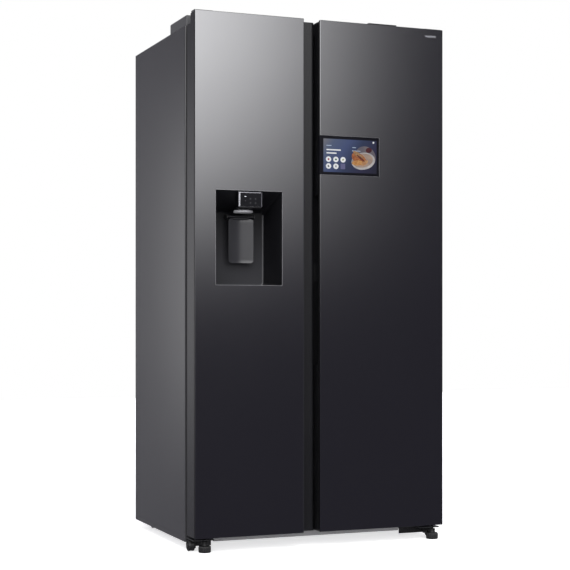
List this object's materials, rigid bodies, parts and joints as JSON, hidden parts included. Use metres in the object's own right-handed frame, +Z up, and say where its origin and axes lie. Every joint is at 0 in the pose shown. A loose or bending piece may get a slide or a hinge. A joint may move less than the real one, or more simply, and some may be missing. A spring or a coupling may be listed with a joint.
{
  "type": "side by side refrigerator",
  "caption": "Tall side-by-side refrigerator-freezer: dark steel doors with a recessed water dispenser, a small display and recessed grips.",
  "frame": {"origin": "on the floor, at the middle of the footprint", "axes": "+Z up, +Y towards the back, +X to the right as seen from the front"},
  "size_m": [0.912, 0.716, 1.795],
  "materials": {
    "graphite_steel": "dark satin steel with fine brushing and a clear coat",
    "case_paint": "dark grey satin paint with a fine texture",
    "strip_paint": "mid grey satin paint",
    "edge_plastic": "dark grey satin moulded plastic",
    "grey_plastic": "grey fine-textured plastic",
    "gloss_black": "polished black plastic",
    "paddle_plastic": "dark satin plastic",
    "black_plastic": "black fine-textured plastic",
    "satin_silver": "satin silver plating",
    "display_glass": "black-printed gloss glass",
    "white_plastic": "smooth white vacuum-formed plastic",
    "clear_plastic": "clear moulded plastic",
    "shelf_glass": "toughened clear glass in a satin trim",
    "gasket_rubber": "dark grey soft magnetic seal",
    "galvanised_steel": "galvanised sheet steel",
    "black_steel": "black semi-gloss paint",
    "copper_tube": "drawn copper tube",
    "aluminium_fin": "thin mill-finish fins",
    "foam": "rigid insulating foam"
  },
  "bodies": {
    "cabinet": {"insulation_body": "foam", "side_panel_left": "case_paint", "side_panel_right": "case_paint", "top_panel": "case_paint", "back_panel": "galvanised_steel", "base_frame": "galvanised_steel", "freezer_liner": "white_plastic", "fridge_liner": "white_plastic", "base_strip": "strip_paint", "top_hinge_left": "galvanised_steel", "top_hinge_right": "galvanised_steel", "hinge_cover_left": "grey_plastic", "hinge_cover_right": "grey_plastic", "bottom_hinge_left": "black_steel", "bottom_hinge_right": "black_steel", "machine_cover": "galvanised_steel", "compressor": "black_steel", "condenser_coil": "copper_tube", "drip_pan": "black_plastic", "water_inlet_valve": "white_plastic", "cord_gland": "black_plastic", "evaporator_cover": "white_plastic", "evaporator": "aluminium_fin", "freezer_shelf_lower": "shelf_glass", "freezer_shelf_upper": "shelf_glass", "crisper_cover": "shelf_glass", "fridge_shelf_lower": "shelf_glass", "fridge_shelf_upper": "shelf_glass", "ice_maker": "white_plastic"},
    "freezer_door": {"freezer_door_panel": "graphite_steel", "freezer_door_frame": "edge_plastic", "freezer_door_liner": "white_plastic", "freezer_door_gasket": "gasket_rubber", "dispenser_housing": "gloss_black", "dispenser_control": "gloss_black", "dispenser_spout": "satin_silver", "drip_grille": "black_plastic", "ice_bucket": "clear_plastic", "freezer_door_bin": "clear_plastic"},
    "fridge_door": {"fridge_door_panel": "graphite_steel", "fridge_door_frame": "edge_plastic", "fridge_door_liner": "white_plastic", "fridge_door_gasket": "gasket_rubber", "display_module": "display_glass", "fridge_door_bin": "clear_plastic", "dairy_bin": "clear_plastic"},
    "paddle": {"dispenser_paddle": "paddle_plastic"},
    "dairy_cover": {"dairy_lid": "clear_plastic"},
    "evaporator_rotor": {"evaporator_fan": "white_plastic"},
    "condenser_rotor": {"condenser_fan": "black_plastic"},
    "foot_left": {"front_foot_left": "black_plastic"},
    "foot_right": {"front_foot_right": "black_plastic"},
    "front_wheel_left": {"front_roller_left": "black_plastic"},
    "front_wheel_right": {"front_roller_right": "black_plastic"},
    "rear_wheel_left": {"rear_roller_left": "black_plastic"},
    "rear_wheel_right": {"rear_roller_right": "black_plastic"},
    "freezer_drawer_low": {"freezer_drawer_lower": "clear_plastic"},
    "freezer_drawer_up": {"freezer_drawer_upper": "clear_plastic"},
    "crisper_low": {"crisper_lower": "clear_plastic"},
    "crisper_up": {"crisper_upper": "clear_plastic"}
  },
  "joints": [
    {"name": "freezer_door_hinge", "type": "hinge", "parent": "cabinet", "child": "freezer_door", "pos_m": [-0.434, -0.294, 0.9], "axis": [0, 0, -1], "range_deg": [0, 120]},
    {"name": "fridge_door_hinge", "type": "hinge", "parent": "cabinet", "child": "fridge_door", "pos_m": [0.434, -0.294, 0.9], "axis": [0, 0, 1], "range_deg": [0, 120]},
    {"name": "paddle_pivot", "type": "hinge", "parent": "freezer_door", "child": "paddle", "pos_m": [-0.267, -0.274, 1.118], "axis": [1, 0, 0], "range_deg": [0, 6], "stiffness_Nm_per_rad": 0.3},
    {"name": "dairy_lid_hinge", "type": "hinge", "parent": "fridge_door", "child": "dairy_cover", "pos_m": [0.22, -0.257, 1.5935], "axis": [1, 0, 0], "range_deg": [0, 80]},
    {"name": "evaporator_fan_spin", "type": "hinge", "parent": "cabinet", "child": "evaporator_rotor", "pos_m": [-0.223, 0.249, 1.33], "axis": [0, 1, 0], "continuous": true},
    {"name": "condenser_fan_spin", "type": "hinge", "parent": "cabinet", "child": "condenser_rotor", "pos_m": [0.0505, 0.243, 0.15], "axis": [1, 0, 0], "continuous": true},
    {"name": "foot_left_travel", "type": "slide", "parent": "cabinet", "child": "foot_left", "axis": [0, 0, -1], "range_m": [0, 0.012]},
    {"name": "foot_right_travel", "type": "slide", "parent": "cabinet", "child": "foot_right", "axis": [0, 0, -1], "range_m": [0, 0.012]},
    {"name": "front_roller_left_spin", "type": "hinge", "parent": "cabinet", "child": "front_wheel_left", "pos_m": [-0.4445, -0.2735, 0.0205], "axis": [1, 0, 0], "continuous": true},
    {"name": "front_roller_right_spin", "type": "hinge", "parent": "cabinet", "child": "front_wheel_right", "pos_m": [0.4445, -0.2735, 0.0205], "axis": [1, 0, 0], "continuous": true},
    {"name": "rear_roller_left_spin", "type": "hinge", "parent": "cabinet", "child": "rear_wheel_left", "pos_m": [-0.4, 0.3, 0.02], "axis": [1, 0, 0], "continuous": true},
    {"name": "rear_roller_right_spin", "type": "hinge", "parent": "cabinet", "child": "rear_wheel_right", "pos_m": [0.4, 0.3, 0.02], "axis": [1, 0, 0], "continuous": true},
    {"name": "freezer_drawer_lower_slide", "type": "slide", "parent": "cabinet", "child": "freezer_drawer_low", "axis": [0, -1, 0], "range_m": [0, 0.18]},
    {"name": "freezer_drawer_upper_slide", "type": "slide", "parent": "cabinet", "child": "freezer_drawer_up", "axis": [0, -1, 0], "range_m": [0, 0.18]},
    {"name": "crisper_lower_slide", "type": "slide", "parent": "cabinet", "child": "crisper_low", "axis": [0, -1, 0], "range_m": [0, 0.18]},
    {"name": "crisper_upper_slide", "type": "slide", "parent": "cabinet", "child": "crisper_up", "axis": [0, -1, 0], "range_m": [0, 0.18]}
  ],
  "couplings": [
    {"joint": "freezer_drawer_lower_slide", "follows": "freezer_door_hinge", "m_per_rad": 0.085},
    {"joint": "freezer_drawer_upper_slide", "follows": "freezer_door_hinge", "m_per_rad": 0.085},
    {"joint": "crisper_lower_slide", "follows": "fridge_door_hinge", "m_per_rad": 0.085},
    {"joint": "crisper_upper_slide", "follows": "fridge_door_hinge", "m_per_rad": 0.085}
  ]
}
